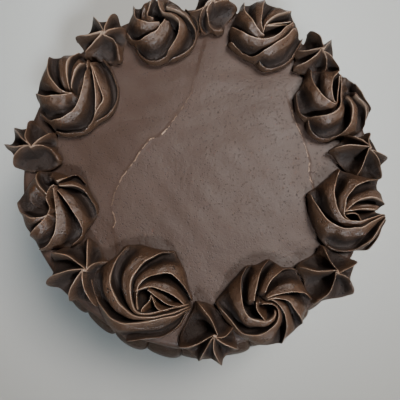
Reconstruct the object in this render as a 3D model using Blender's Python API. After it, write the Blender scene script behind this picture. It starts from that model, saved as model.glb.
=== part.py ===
"""Round chocolate layer cake: coated body, eight piped swirls, eight piped stars and a shell border.

Sizes are in millimetres and degrees and become metres in the mesh. The cake stands on z = 0 on its axis.
"""
import math

import bmesh
import bpy
import numpy as np
from mathutils import Vector
from mathutils.geometry import delaunay_2d_cdt

MM = 0.001
FULL_TURN = 360.0
GAP = 0.3

# Body
BODY_RADIUS = 101.0
BODY_TOP_RADIUS = 99.5
BODY_HEIGHT = 80.0
BODY_UPRIGHT = 28.0
BODY_ROUND = 4.0
BODY_SIDES = 84
BODY_ROUND_STEPS = 4

# Shell border round the foot
SHELL_COUNT = 30
SHELL_PHASE = 6.0
SHELL_INNER = 101.4
SHELL_DEPTH = 20.4
SHELL_HEIGHT = 19.0
SHELL_SECTIONS = 7
SHELL_POINTS = 7
SHELL_NECK = 0.8
SHELL_HEAD = 0.25
SHELL_FULLNESS = 0.8

# Swirls and stars
SWIRL_RISE = 12.5
SWIRL_ROLL = 11.0
SWIRL_BULGE = -0.06
SWIRL_PIT = 11.0
SWIRL_PIT_WIDTH = 4.2
SWIRL_PIT_CREST = 0.4
PIT_CREST_WIDTH = 1.2
STAR_RISE = 13.5
STAR_ROLL = 17.0
STAR_BULGE = -0.22
BULGE_MOST = 4.0
BULGE_SKEW = 0.8
RIM_WALL = 1.5
CREST_MARGIN = 0.5
UNDERCUT = 0.6
FOOT_LEAST = 0.8
CREST_SPREAD = 4.0
CREST_LIP = 0.9
CREST_LIP_REACH = 0.6

# Groove between two ridges: a lip along one crest, a slope, the valley and the wall up to the next crest.
# Places across it are shares of its width.
LIP = 0.42
LIP_FALL = 0.2
LIP_POWER = 1.6
SLOPE_START = 0.3
SLOPE_END = 0.7
VALLEY = 0.9
WALL_POWER = 0.5
DEPTH_SHARE = 1.6
DEPTH_MOST = 11.5
DEPTH_AT_FOOT = 0.55
DEPTH_AT_TOP = 0.9
WIDE_START = 7.0
WIDE_END = 15.0
WIDE_EASE = 0.55

# Mesh spacing
OUTLINE_POINTS = 54
OUTLINE_STEP = 2.0
CREST_STEP = 2.8
FILL_STEP = 3.7
FILL_CLEAR = 0.6
VALLEY_OFFSET = 1.3
CLEAR = 1.1
STEPS_PER_SPAN = 14
MARCH_STEP = 0.25
SETTLE_STEP = 0.15
SETTLE_ROUNDS = 40
EDGE_SHARES = (0.0, 0.2, 0.4, 0.6, 0.8)
STAR_POINT = 0.01
HANDLE_MOST = 0.75
LEAST_TURN = 0.05
JUST_INSIDE = 0.9995
WELD = 1e-4
TINY = 1e-6

ICING = ("icing_matte", (0.068, 0.044, 0.033, 1.0), 0.58)
PIPED = ("icing_piped", (0.044, 0.024, 0.016, 1.0), 0.42)

# Each swirl: place of its foot on the cake (radius, angle), both ends (x, y) of the hollow that its eye
# runs into, and its ridges, anticlockwise.
# A ridge runs inward through knots of radius, angle and heading, seen from the foot of the swirl.
SWIRLS = {
    "swirl_1": ((78.8, 148), ((-3.5, -0.5), (3, 11)), (
        ((17, 81, -124), (10, 101, -113), (3.5, 170, -80)),
        ((24.5, 90, -139), (21, 101, -117), (13, 119, -96), (4.5, 175, -65)),
        ((28, 129, -87), (21.4, 144, -79), (9.8, -172, -35), (5, -126, -21)),
        ((25, 183, -36), (15.3, -155, -8), (4.3, -118, 23)),
        ((25, 209, -45), (22.5, -122, -10), (11.7, -80, 62), (6, 30, 87), (20.5, 77, 95)),
        ((26.5, 242, -12), (22.3, -76, 39), (15, -36, 84), (13, 40, 104), (18, 66, 108)),
        ((20.5, 299, 28), (21.8, -22, 67), (21.6, 23, 110), (24.4, 60, 132)),
        ((18.5, 305, 62), (17, -25, 80), (13.3, 17, 111), (15.4, 53, 113)))),
    "swirl_2": ((81.9, 103), ((-2.9, 5), (-10, 9)), (
        ((22, 106, -110), (8, 156, -18)),
        ((25, 141, -78), (14, 179, -33), (2.8, -177, 12)),
        ((23, 184, -52), (16, -142, 2), (8.3, -127, 36), (2.5, 69, 71)),
        ((20.5, 215, -63), (21, -111, -6), (12.5, -61, 58), (8.4, 15, 121), (7.4, 90, 150), (15, 105, 97)),
        ((18.2, 281, 19), (18.4, -20, 72), (13, 31, 150), (10, 84, 162)),
        ((19, 355, 75), (19, 50, 140)))),
    "swirl_3": ((85.2, 62), ((-1.5, 0.5), (11, 7.5)), (
        ((23, 46, -123), (12, 63, -161), (3.1, 161, -103)),
        ((24, 89, -110), (7.5, 128, -83), (2.8, 172, -67)),
        ((26, 121, -93), (10, 157, -53), (3, -132, -26)),
        ((22, 163, -55), (11.7, -156, -26), (6.6, -93, 10), (17.5, 25, 52)),
        ((22, 187, -43), (14.5, -115, 5), (10, -57, 33), (18.6, 14, 57)),
        ((16.6, 252, -66), (19.7, -85, 8), (19.6, -59, 33), (22, 0, 62)))),
    "swirl_4": ((81.8, 23), ((2.5, 2), (4.4, 13)), (
        ((24, 75, -133), (11, 102, -99), (1.6, 39, -38)),
        ((26, 116, -96), (9.9, 151, -55), (1, -106, -5), (4.7, 50, 82), (17, 75, 80)),
        ((21, 155, -96), (17, -163, -47), (11, -130, 8), (4.5, -60, 48), (8.1, 53, 88), (18, 73, 87)),
        ((16, 212, -85), (19.6, -113, -16), (15, -61, 54), (9.4, -3, 103), (8.1, 31, 143)),
        ((22, 327, 91), (18, -7, 111), (13, 22, 128)),
        ((23, 357, 100), (19, 43, 112)))),
    "swirl_5": ((84.6, -19), ((-1, -2), (13, -1)), (
        ((16, 6, -175), (3, 172, -161)),
        ((22, 10, 143), (4, -171, -122)),
        ((26, 43, 175), (6, -102, -50)),
        ((24, 95, -130), (11, 149, -88), (7, -77, 0), (21, -4, 5)),
        ((22, 153, -75), (11, -105, -3), (21, -6, 18)),
        ((21, 241, -35), (21, -94, 0), (21, -9, 50)),
        ((23, 299, 50), (22, -12, 68)))),
    "swirl_6": ((83.6, -65), ((-1, -1.5), (-0.5, -1.2)), (
        ((22, 117, -141), (16, 160, -92), (9, -116, 5), (4, -36, 100)),
        ((26, 179, -46), (17, -116, 10), (5.5, -25, 98), (3.7, 153, -171)),
        ((21, 291, 70), (10, -30, 105), (4, 70, 161)),
        ((21, 333, 115), (12, 5, 118), (4, 100, -170)),
        ((24, 7, 127), (5, 104, -161)),
        ((24, 48, 157), (8, 109, -115)),
        ((23, 86, -155), (9, 160, -98)))),
    "swirl_7": ((73.7, -111), ((-4, -2), (12, -7)), (
        ((18, -21, 176), (11, -27, 150), (2, 72, 148)),
        ((20, -17, 135), (9.3, 13, 156), (4.7, 52, 174), (6.4, 169, -154)),
        ((23, -11, 106), (14, 48, 178), (6, 175, -95), (9, -120, -60)),
        ((25, 59, -175), (9.5, 170, -92), (11, -87, 5), (22, -17, 8)),
        ((27, 117, -127), (21, 156, -90), (13, -86, 0), (23, -20, 12)),
        ((31, 165, -82), (18, -119, 0), (24, -22, 20)),
        ((27, 246, 5), (24, -63, 30), (23, -28, 55)))),
    "swirl_8": ((79.2, -162), ((-4.6, -1), (-4.4, 7.5)), (
        ((24, 120, -100), (8, 130, -55)),
        ((23, 171, -80), (5, -111, 30)),
        ((21, 227, 25), (3, -147, 95), (8, 129, 80), (11, 96, 10)),
        ((24, 246, 0), (8, -66, 92), (10, 94, 92)),
        ((22, 291, 40), (18, -37, 95), (9, 79, 135)),
        ((21, 352, 90), (18, 27, 125), (12, 82, 180)),
        ((20, 47, 135), (20, 67, 178), (14, 90, -152)))),
}

# Small fins that lie wholly in a swirl's hollow, with knots as above.
INNER_FINS = {
    "swirl_3": (((16, 31, -174), (4.6, 98, -154)), ((13, 30, -173), (4.9, 85, -168))),
    "swirl_5": (((8, -41, 98), (4.6, -16, 142), (1.4, -151, -165)),),
    "swirl_6": (((6.2, -104, 142), (5.6, -166, 107), (6.1, 161, 95)),),
    "swirl_7": (((9, -100, 85), (5.1, -76, 53), (2.8, -30, 70)),
                ((14, -36, -167), (9.5, -52, 143), (2.8, -30, 114))),
}

# Each star: place of its peak (radius, angle) and its arms as tip radius, tip angle and heading there.
STARS = {
    "star_1": ((89.8, 126), ((14, 38, 200), (19, 75, 240), (18, 119, -60), (18, 173, -20),
                             (15, 215, 20), (14, -52, 75))),
    "star_2": ((92.5, 84), ((15, 12, 173), (18, 62, 230), (17, 118, -70), (14, 185, -20),
                            (14, -117, 126), (13, -64, 208))),
    "star_3": ((94.0, 42), ((14, 50, 215), (17, 105, -55), (14, 165, -37), (16, -156, -6),
                            (14, -94, 26), (14, -32, 124))),
    "star_4": ((92.0, 3.5), ((14, -14, 160), (13, 72, 230), (14, 133, -36), (19, 175, 0),
                             (15, -111, 58), (17, -60, 83))),
    "star_5": ((92.0, -40), ((15, 21, 190), (15, 108, -94), (19, 172, -25), (20, -123, 28),
                             (16, -47, 88))),
    "star_6": ((90.4, -85), ((11, 22, -136), (19, 121, -40), (20, -160, 7), (16, -122, 54),
                             (16, -76, 122), (15, -32, 151))),
    "star_7": ((81.8, -135), ((12, 25, 161), (18, 95, -73), (23, 156, -1), (23, -163, 38),
                              (18, -122, 66), (19, -76, 118))),
    "star_8": ((90.0, 175.5), ((15, 50, 230), (19, 98, -112), (19, 133, -52), (18, 167, -32),
                               (14, -145, 66), (15, -18, 100))),
}


def direction(angle):
    return np.array((math.cos(math.radians(angle)), math.sin(math.radians(angle))))


def span(start, start_heading, end, end_heading):
    """Smooth cubic from start to end with the two headings, its handles sized for the turn."""
    turn = (end_heading - start_heading + 180.0) % FULL_TURN - 180.0
    chord = np.linalg.norm(end - start)
    half = max(abs(math.radians(turn)) / 2.0, LEAST_TURN)
    handle = min(chord * (2.0 / 3.0) * math.tan(half / 2.0) / math.sin(half), HANDLE_MOST * chord)
    first = start + handle * direction(start_heading)
    second = end - handle * direction(end_heading)
    t = np.linspace(0.0, 1.0, STEPS_PER_SPAN + 1)[:, None]
    s = 1.0 - t
    return s ** 3 * start + 3 * s * s * t * first + 3 * s * t * t * second + t ** 3 * end


def course(knots):
    """Line through knots of radius, angle and heading."""
    points = [knot[0] * direction(knot[1]) for knot in knots]
    parts = []
    for index in range(len(knots) - 1):
        piece = span(points[index], knots[index][2], points[index + 1], knots[index + 1][2])
        parts.append(piece if index == 0 else piece[1:])
    return np.vstack(parts)


def resample(line, step):
    """Points a step apart along a line."""
    lengths = np.append(0.0, np.cumsum(np.hypot(*np.diff(line, axis=0).T)))
    stations = np.linspace(0.0, lengths[-1], max(2, round(lengths[-1] / step)) + 1)
    return np.column_stack((np.interp(stations, lengths, line[:, 0]),
                            np.interp(stations, lengths, line[:, 1])))


def beside(points, line):
    """Distance of points from a line, and how far each lies on its right, from 0 to 1."""
    start = line[:-1]
    run = line[1:] - start
    offset = points[:, None, :] - start[None]
    along = np.clip((offset * run).sum(2) / (run ** 2).sum(1), 0.0, 1.0)
    gap = offset - along[..., None] * run
    away = np.hypot(gap[..., 0], gap[..., 1])
    nearest = away.argmin(axis=1)
    rows = np.arange(len(points))
    distance = away[rows, nearest]
    heading = run[nearest] / np.linalg.norm(run[nearest], axis=1)[:, None]
    rest = gap[rows, nearest]
    side = (heading[:, 0] * rest[:, 1] - heading[:, 1] * rest[:, 0]) / np.maximum(distance, TINY)
    return distance, (1.0 - side) / 2.0


def flank(share):
    """Fall across a groove from one crest, gently along its lip, to the steep wall of the next."""
    lip = LIP_FALL * np.minimum(share / LIP, 1.0) ** LIP_POWER
    slope = np.clip((share - SLOPE_START) / (SLOPE_END - SLOPE_START), 0.0, 1.0)
    falling = lip + (1.0 - LIP_FALL) * slope * slope * (3.0 - 2.0 * slope)
    rising = np.minimum((1.0 - share) / (1.0 - VALLEY), 1.0) ** WALL_POWER
    return np.where(share < VALLEY, falling, rising)


class Mound:
    """Piped shape as a height over the plan, with a sharp crest along each of its ridges."""

    def __init__(self, place, knots, rise, roll, bulge, hollow=None, fins=()):
        self.centre = place[0] * direction(place[1])
        self.ridges = [course(row) for row in knots]
        self.crests = self.ridges + [course(row) for row in fins]
        self.rise = rise
        self.roll = roll
        self.hollow = None if hollow is None else np.array(hollow, float)
        self.angles = np.arange(0.0, FULL_TURN, OUTLINE_STEP)
        self.radii = self.shape_outline(knots, bulge)

    def shape_outline(self, knots, bulge):
        """Radius of the foot at each angle: from tip to tip, and out to wherever a ridge runs."""
        tips = sorted((row[0][1] % FULL_TURN, row[0][0]) for row in knots)
        tips.append((tips[0][0] + FULL_TURN, tips[0][1]))
        radii = np.zeros(len(self.angles))
        for index, angle in enumerate(self.angles):
            turned = angle if angle >= tips[0][0] else angle + FULL_TURN
            for low, high in zip(tips[:-1], tips[1:]):
                if low[0] <= turned < high[0]:
                    share = (turned - low[0]) / (high[0] - low[0])
                    chord = math.radians(high[0] - low[0]) * (low[1] + high[1]) / 2.0
                    swell = max(bulge * chord, -BULGE_MOST)
                    radii[index] = low[1] + (high[1] - low[1]) * share
                    radii[index] += swell * math.sin(math.pi * share ** BULGE_SKEW)
        for ridge in self.ridges:
            reach = np.hypot(ridge[:, 0], ridge[:, 1]) + CREST_MARGIN
            bearing = np.degrees(np.arctan2(ridge[:, 1], ridge[:, 0]))
            for far, angle in zip(reach, bearing):
                offset = np.abs((self.angles - angle + 180.0) % FULL_TURN - 180.0)
                radii = np.where(offset < CREST_SPREAD, np.maximum(radii, far), radii)
        for _ in range(2):
            radii = (np.roll(radii, 1) + radii + np.roll(radii, -1)) / 3.0
        return radii

    def reach(self, points):
        bearing = np.degrees(np.arctan2(points[:, 1], points[:, 0])) % FULL_TURN
        return np.interp(bearing, np.append(self.angles, FULL_TURN), np.append(self.radii, self.radii[0]))

    def heights(self, points):
        """Height over the cake top at points given from the centre, zero outside the outline."""
        inside = self.reach(points) - np.hypot(points[:, 0], points[:, 1])
        share = np.clip(inside / self.roll, 0.0, 1.0)
        dome = self.rise * np.sqrt(1.0 - (1.0 - share) ** 2)
        distance, right = map(np.array, zip(*(beside(points, crest) for crest in self.crests)))
        order = np.argsort(distance, axis=0)[:2]
        rows = np.arange(len(points))
        first, second = distance[order[0], rows], distance[order[1], rows]
        right_first, right_second = right[order[0], rows], right[order[1], rows]
        width = first + second + TINY
        across = first / width
        if self.hollow is None:
            profile = np.sin(math.pi * across)
        else:
            near = beside(points, self.hollow)[0] / SWIRL_PIT_WIDTH
            kept = (1.0 - SWIRL_PIT_CREST) * np.exp(-(first / PIT_CREST_WIDTH) ** 2)
            dome = np.maximum(dome - SWIRL_PIT * np.exp(-near ** 2) * (1.0 - kept), 0.0)
            wall = np.minimum(across / (1.0 - VALLEY), 1.0) ** WALL_POWER
            left_side = right_second * flank(1.0 - across) + (1.0 - right_second) * wall
            profile = right_first * flank(across) + (1.0 - right_first) * left_side
        most = (DEPTH_AT_FOOT + (DEPTH_AT_TOP - DEPTH_AT_FOOT) * dome / self.rise) * dome
        depth = np.minimum(np.minimum(DEPTH_SHARE * width, DEPTH_MOST), most)
        if self.hollow is not None:
            wide = np.clip((width - WIDE_START) / (WIDE_END - WIDE_START), 0.0, 1.0)
            depth = depth * (1.0 - WIDE_EASE * wide)
        lip = CREST_LIP * np.exp(-first / CREST_LIP_REACH) * np.clip(dome / self.rise, 0.0, 1.0)
        return np.where(inside > 0.0, dome - depth * profile + lip + RIM_WALL, 0.0)

    def free_outline(self, others):
        """Outline points, pulled in wherever another mound stands higher."""
        outline = []
        for index in range(OUTLINE_POINTS):
            heading = direction(FULL_TURN * index / OUTLINE_POINTS)
            limit = self.reach(heading[None])[0]
            steps = np.arange(MARCH_STEP, limit, MARCH_STEP)
            line = steps[:, None] * heading
            own = self.heights(line)
            taken = np.zeros(len(line), bool)
            for other in others:
                taken |= other.heights(line + self.centre - other.centre) > own
            if taken.any():
                limit = steps[taken.argmax()] - MARCH_STEP - GAP
            outline.append(limit * heading)
        return np.array(outline)


def edge_samples(outline):
    """Points along each edge of a closed outline and the edge each belongs to."""
    following = np.roll(outline, -1, axis=0)
    shares = np.array(EDGE_SHARES)
    points = outline[:, None] + shares[:, None] * (following - outline)[:, None]
    return points.reshape(-1, 2), np.repeat(np.arange(len(outline)), len(shares))


def too_near(points, outline):
    """Which points lie inside a closed outline or nearer to it than the gap."""
    following = np.roll(outline, -1, axis=0)
    run = following - outline
    offset = points[:, None, :] - outline[None]
    along = np.clip((offset * run).sum(2) / (run ** 2).sum(1), 0.0, 1.0)
    away = np.linalg.norm(offset - along[..., None] * run, axis=2).min(axis=1)
    above = points[:, None, 1] < outline[None, :, 1]
    next_above = points[:, None, 1] < following[None, :, 1]
    rise = np.where(run[:, 1] == 0.0, TINY, run[:, 1])
    cross = outline[None, :, 0] + offset[..., 1] / rise * run[:, 0]
    crossings = (above != next_above) & (points[:, None, 0] < cross)
    return (crossings.sum(axis=1) % 2 == 1) | (away < GAP)


def settle(mounds, outlines):
    """Draw the outlines in, a little at a time, until every pair keeps the gap."""
    for _ in range(SETTLE_ROUNDS):
        changed = False
        for name, outline in outlines.items():
            points, edges = edge_samples(outline)
            points = points + mounds[name].centre
            hit = np.zeros(len(points), bool)
            for key, other in outlines.items():
                if key != name:
                    hit |= too_near(points, other + mounds[key].centre)
            for edge in set(edges[hit]):
                for end in (edge, (edge + 1) % len(outline)):
                    length = np.hypot(*outline[end])
                    outline[end] *= (length - SETTLE_STEP) / length
                changed = True
        if not changed:
            return


def plan_points(mound, outline):
    """Outline, crest, valley and filling points of a mound, with the outline and crest edges."""
    points = [tuple(point) for point in outline]
    edges = [(index, (index + 1) % len(points)) for index in range(len(points))]
    rim = [np.array(point) for point in points]

    def inside(point):
        bearing = math.degrees(math.atan2(point[1], point[0])) % FULL_TURN
        place = bearing / FULL_TURN * len(rim)
        low = rim[int(place) % len(rim)]
        high = rim[(int(place) + 1) % len(rim)]
        edge = high - low
        return edge[0] * (point[1] - low[1]) - edge[1] * (point[0] - low[0]) > CLEAR * np.hypot(*edge)

    def clear(point, room):
        return all((point[0] - p[0]) ** 2 + (point[1] - p[1]) ** 2 > room * room for p in points)

    for crest in mound.crests:
        last = None
        for point in resample(crest, CREST_STEP):
            if inside(point) and clear(point, CLEAR):
                points.append(tuple(point))
                if last is not None:
                    edges.append((last, len(points) - 1))
                last = len(points) - 1
            else:
                last = None
    for crest in mound.crests:
        line = resample(crest, CREST_STEP)
        run = np.gradient(line, axis=0)
        left = np.column_stack((-run[:, 1], run[:, 0])) / np.linalg.norm(run, axis=1)[:, None]
        for point in line + VALLEY_OFFSET * left:
            if inside(point) and clear(point, CLEAR):
                points.append(tuple(point))
    widest = int(mound.radii.max() / FILL_STEP) + 2
    for row in range(-widest, widest + 1):
        for column in range(-widest, widest + 1):
            point = ((column + 0.5 * (row % 2)) * FILL_STEP, row * FILL_STEP * math.sin(math.pi / 3.0))
            if math.hypot(*point) < mound.radii.max() and inside(point) and clear(point, FILL_CLEAR * FILL_STEP):
                points.append(point)
    return points, edges


def icing(name, colour, roughness):
    material = bpy.data.materials.new(name)
    material.use_nodes = True
    shader = material.node_tree.nodes["Principled BSDF"]
    shader.inputs["Base Color"].default_value = colour
    shader.inputs["Roughness"].default_value = roughness
    shader.inputs["Metallic"].default_value = 0.0
    material.diffuse_color = colour
    return material


def place_object(name, shape, material):
    """Finish a shape as a closed triangle mesh in an object of its own."""
    bmesh.ops.triangulate(shape, faces=[face for face in shape.faces if len(face.verts) > 3])
    bmesh.ops.recalc_face_normals(shape, faces=shape.faces)
    mesh = bpy.data.meshes.new(name)
    shape.to_mesh(mesh)
    shape.free()
    mesh.materials.append(material)
    bpy.context.scene.collection.objects.link(bpy.data.objects.new(name, mesh))


def build_mound(name, mound, outline, material):
    points, edges = plan_points(mound, outline)
    loop = list(range(len(outline)))
    flat, _, faces, _, _, _ = delaunay_2d_cdt([Vector(p) for p in points], edges, [loop], 1, WELD)
    plan = np.array([(point.x, point.y) for point in flat])
    tops = np.maximum(mound.heights(plan * JUST_INSIDE), RIM_WALL)
    low = BODY_HEIGHT + GAP
    shape = bmesh.new()
    upper = []
    for point, top in zip(plan + mound.centre, tops):
        upper.append(shape.verts.new((point[0] * MM, point[1] * MM, (low + top) * MM)))
    for face in faces:
        shape.faces.new([upper[index] for index in face])
    lower = {}
    rim = [edge for edge in shape.edges if len(edge.link_faces) == 1]
    for edge in rim:
        for vertex in edge.verts:
            if vertex not in lower:
                offset = np.array(vertex.co.xy) / MM - mound.centre
                drawn = UNDERCUT * (vertex.co.z / MM - low) / np.hypot(*offset)
                foot = mound.centre + max(1.0 - drawn, FOOT_LEAST) * offset
                lower[vertex] = shape.verts.new((foot[0] * MM, foot[1] * MM, low * MM))
    following = {}
    for edge in rim:
        first = edge.link_loops[0].vert
        second = edge.link_loops[0].link_loop_next.vert
        shape.faces.new((first, lower[first], lower[second], second))
        following[first] = second
    ring = [next(iter(following))]
    while following[ring[-1]] is not ring[0]:
        ring.append(following[ring[-1]])
    shape.faces.new([lower[vertex] for vertex in reversed(ring)])
    loose = [vertex for vertex in shape.verts if not vertex.link_faces]
    bmesh.ops.delete(shape, geom=loose, context="VERTS")
    place_object(name, shape, material)


def build_rings(name, rings, material):
    """Solid from a stack of rings of equal count, its two ends capped."""
    shape = bmesh.new()
    rows = [[shape.verts.new(Vector(point) * MM) for point in ring] for ring in rings]
    count = len(rows[0])
    for low, high in zip(rows[:-1], rows[1:]):
        for index in range(count):
            step = (index + 1) % count
            shape.faces.new((low[index], low[step], high[step], high[index]))
    shape.faces.new(list(reversed(rows[0])))
    shape.faces.new(rows[-1])
    place_object(name, shape, material)


def build_body(material):
    profile = [(BODY_RADIUS, 0.0), (BODY_RADIUS, BODY_UPRIGHT)]
    centre = (BODY_TOP_RADIUS - BODY_ROUND, BODY_HEIGHT - BODY_ROUND)
    for step in range(BODY_ROUND_STEPS + 1):
        turn = math.radians(90.0 * step / BODY_ROUND_STEPS)
        profile.append((centre[0] + BODY_ROUND * math.cos(turn), centre[1] + BODY_ROUND * math.sin(turn)))
    rings = []
    for radius, height in profile:
        corners = [radius * direction(FULL_TURN * side / BODY_SIDES) for side in range(BODY_SIDES)]
        rings.append([(x, y, height) for x, y in corners])
    build_rings("cake_body", rings, material)


def build_shell(index, material):
    pitch = FULL_TURN / SHELL_COUNT
    half = pitch / 2.0 - math.degrees(GAP / 2.0 / SHELL_INNER)
    rings = []
    for section in range(SHELL_SECTIONS):
        across = -1.0 + 2.0 * section / (SHELL_SECTIONS - 1)
        lean = across - SHELL_HEAD * (1.0 - across * across)
        size = SHELL_NECK + (1.0 - SHELL_NECK) * math.sqrt(max(0.0, 1.0 - lean * lean))
        heading = direction(SHELL_PHASE + pitch * index + half * across)
        ring = [(SHELL_INNER, 0.0)]
        for point in range(SHELL_POINTS):
            turn = math.radians(90.0 * point / (SHELL_POINTS - 1))
            out = math.cos(turn) ** SHELL_FULLNESS
            ring.append((SHELL_INNER + size * SHELL_DEPTH * out, size * SHELL_HEIGHT * math.sin(turn)))
        rings.append([(radius * heading[0], radius * heading[1], height) for radius, height in ring])
    build_rings("shell_%02d" % (index + 1), rings, material)


def main():
    for node in list(bpy.data.objects):
        bpy.data.objects.remove(node, do_unlink=True)
    coat = icing(*ICING)
    piped = icing(*PIPED)
    build_body(coat)
    mounds = {}
    for name, (place, hollow, knots) in SWIRLS.items():
        fins = INNER_FINS.get(name, ())
        mounds[name] = Mound(place, knots, SWIRL_RISE, SWIRL_ROLL, SWIRL_BULGE, hollow, fins)
    for name, (place, arms) in STARS.items():
        knots = [(arm, (STAR_POINT, arm[1], 2 * (arm[1] + 180.0) - arm[2])) for arm in arms]
        mounds[name] = Mound(place, knots, STAR_RISE, STAR_ROLL, STAR_BULGE)
    outlines = {}
    for name, mound in mounds.items():
        others = [other for key, other in mounds.items() if key != name]
        outlines[name] = mound.free_outline(others)
    settle(mounds, outlines)
    for name, mound in mounds.items():
        build_mound(name, mound, outlines[name], piped)
    for index in range(SHELL_COUNT):
        build_shell(index, piped)


main()
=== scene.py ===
"""Looks of the round chocolate layer cake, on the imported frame. Sizes in millimetres and degrees."""

import math
from collections import namedtuple

import bpy
import numpy as np
from mathutils import Euler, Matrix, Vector, kdtree
from mathutils.geometry import delaunay_2d_cdt


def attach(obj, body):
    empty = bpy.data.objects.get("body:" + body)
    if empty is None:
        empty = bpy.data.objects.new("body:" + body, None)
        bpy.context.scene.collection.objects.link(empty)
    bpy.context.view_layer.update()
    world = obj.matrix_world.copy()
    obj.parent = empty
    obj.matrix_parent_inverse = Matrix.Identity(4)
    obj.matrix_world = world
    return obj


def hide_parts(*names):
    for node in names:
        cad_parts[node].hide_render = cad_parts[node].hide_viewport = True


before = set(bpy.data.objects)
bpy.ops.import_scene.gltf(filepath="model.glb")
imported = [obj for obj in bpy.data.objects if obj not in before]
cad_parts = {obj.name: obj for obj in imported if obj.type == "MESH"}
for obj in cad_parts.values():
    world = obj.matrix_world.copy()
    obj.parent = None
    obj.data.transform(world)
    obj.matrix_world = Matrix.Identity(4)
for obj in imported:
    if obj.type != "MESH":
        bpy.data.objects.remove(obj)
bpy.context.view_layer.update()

MM = 0.001
FULL_TURN = 360.0
HALF_TURN = 180.0
QUARTER_TURN = 90.0
TINY = 1e-6

# Body: its profile, the share of its side that is upright, and the fineness of its mesh
BODY_RADIUS = 101.0
BODY_TOP_RADIUS = 99.5
BODY_HEIGHT = 80.0
BODY_ROUND = 4.0
BODY_UPRIGHT = 0.35
BODY_UPRIGHT_ROWS = 18
BODY_TAPER_ROWS = 28
BODY_ROUND_STEPS = 8
BODY_LAST_RING = 1.0
BODY_RINGS = 120
BODY_COLUMNS = 420

# Waves in a surface: how many are summed, and the least and most that each is quickened
WAVE_COUNT = 12
WAVE_QUICKENED = (0.6, 1.6)

# Unevenness, as rows of depth, length and seed: of the side, which starts a little above the foot, and of
# the top, which grows calmer towards its rim
SIDE_WAVES = ((0.30, 45.0, 51), (0.12, 14.0, 52))
SIDE_STRETCH = 2.0
SIDE_SINK = 0.4
SIDE_START = 6.0
TOP_WAVES = ((0.16, 55.0, 41), (0.07, 18.0, 42))
TOP_SINK = 0.25
TOP_RIM = 104.0
TOP_RIM_REACH = 20.0
TOP_RIM_LEAST = 0.25

# Fine streaks that the spatula left across the top
STREAK_DEPTH = 0.006
STREAK_LENGTH = 5.0
STREAK_SEED = 43
STREAK_COUNT = 16
STREAK_STRETCH = 0.08

# Steps in the top at the seam and the ledge, and the lip of icing along every mark
SEAM_STEP = 0.25
SEAM_REACH = 16.0
SEAM_SLOPE = 0.016
SEAM_SLOPE_REACH = 30.0
LEDGE_STEP = 0.6
LEDGE_REACH = 14.0
STEP_BLUR = 0.5
MARK_RISE = 0.3
MARK_REACH = 0.7

# Shell border round the foot
SHELL_COUNT = 30
SHELL_PHASE = 6.0
SHELL_INNER = 101.0
SHELL_DEPTH = 20.4
SHELL_HEIGHT = 19.0
SHELL_NECK = 0.8
SHELL_HEAD = 0.25
SHELL_SHOULDER = 0.8
SHELL_SMALLEST = 0.93
SHELL_TWIST = 0.08
SHELL_SECTIONS = 33
SHELL_AROUND = 27
SHELL_SHARP_ANGLE = 60.0
SHELL_SEED = 600

# Swirls and stars: rise over the cake, width of the rounded rim, sunk eye, and swell of the outline between
# two ridges as a share of their distance
SWIRL_RISE = 12.5
SWIRL_ROLL = 11.0
SWIRL_PIT = 11.0
SWIRL_PIT_WIDTH = 4.2
SWIRL_PIT_CREST = 0.4
PIT_CREST_REACH = 1.2
SWIRL_BULGE = -0.10
SWIRL_BULGE_MOST = 2.5
STAR_RISE = 13.5
STAR_ROLL = 17.0
STAR_BULGE = -0.22
STAR_BULGE_MOST = 4.0
STAR_EYE = 0.01
BULGE_SKEW = 0.8
OUTLINE_STEP = 2.0
OUTLINE_REACH = 4.0
OUTLINE_SMOOTHINGS = 2
RIM_WALL = 1.5
SWIRL_SEED = 100
STAR_SEED = 300
SEED_STEP = 10

# Crests, and the slot between two crests: a lip, a slope, a valley and a steep wall, as shares of its width
CREST_MARGIN = 0.5
CREST_HALF = 0.12
CREST_LEAN = 0.9
CREST_LEAN_REACH = 1.6
CREST_LEAN_POWER = 1.5
CREST_LIP = 0.6
CREST_LIP_REACH = 0.5
LIP = 0.42
LIP_FALL = 0.2
LIP_POWER = 1.6
# LIP_REACH is the width of the painted highlight on the lip beside each crest
LIP_REACH = 1.3
SLOPE_START = 0.3
SLOPE_END = 0.7
VALLEY = 0.9
WALL_POWER = 0.5
DEPTH_SHARE = 1.6
DEPTH_MOST = 11.5
GROOVE_SHARE = 0.9
WIDE_START = 7.0
WIDE_END = 15.0
WIDE_EASE = 0.55

# Soft waviness of the piped icing, and its foot: rows down the wall, drawn in under the outermost crest
RIPPLE = 0.15
RIPPLE_LENGTH = 11.0
SWAY = 0.25
SWAY_LENGTH = 14.0
UNDERCUT = 0.6
WALL_ROWS = (0.85, 0.6, 0.3, -0.1)
RIM_PULL = 0.9995

# Mesh of the plan: spacing, rows beside each crest, and the room that each point keeps
STEPS_PER_SPAN = 14
FILL_STEP = 1.3
LEFT_ROW = 0.5
RIGHT_ROW = 0.8
GRID_ROW = 0.866
RIM_ROOM = 0.5
CREST_ROOM = 0.45
ROW_ROOM = 0.9
GRID_ROOM = 0.6
MERGE = 1e-4

# Values that the mounds hand to their material
# Distance given to the foot, and the fading towards lower parts, of the painted highlight line along the
# crests
EDGE_FAR = 9.0
EDGE_FADE = 0.5
# Groove depth at which the painted shade in the valleys is full
DEEP_REACH = 4.6

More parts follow.
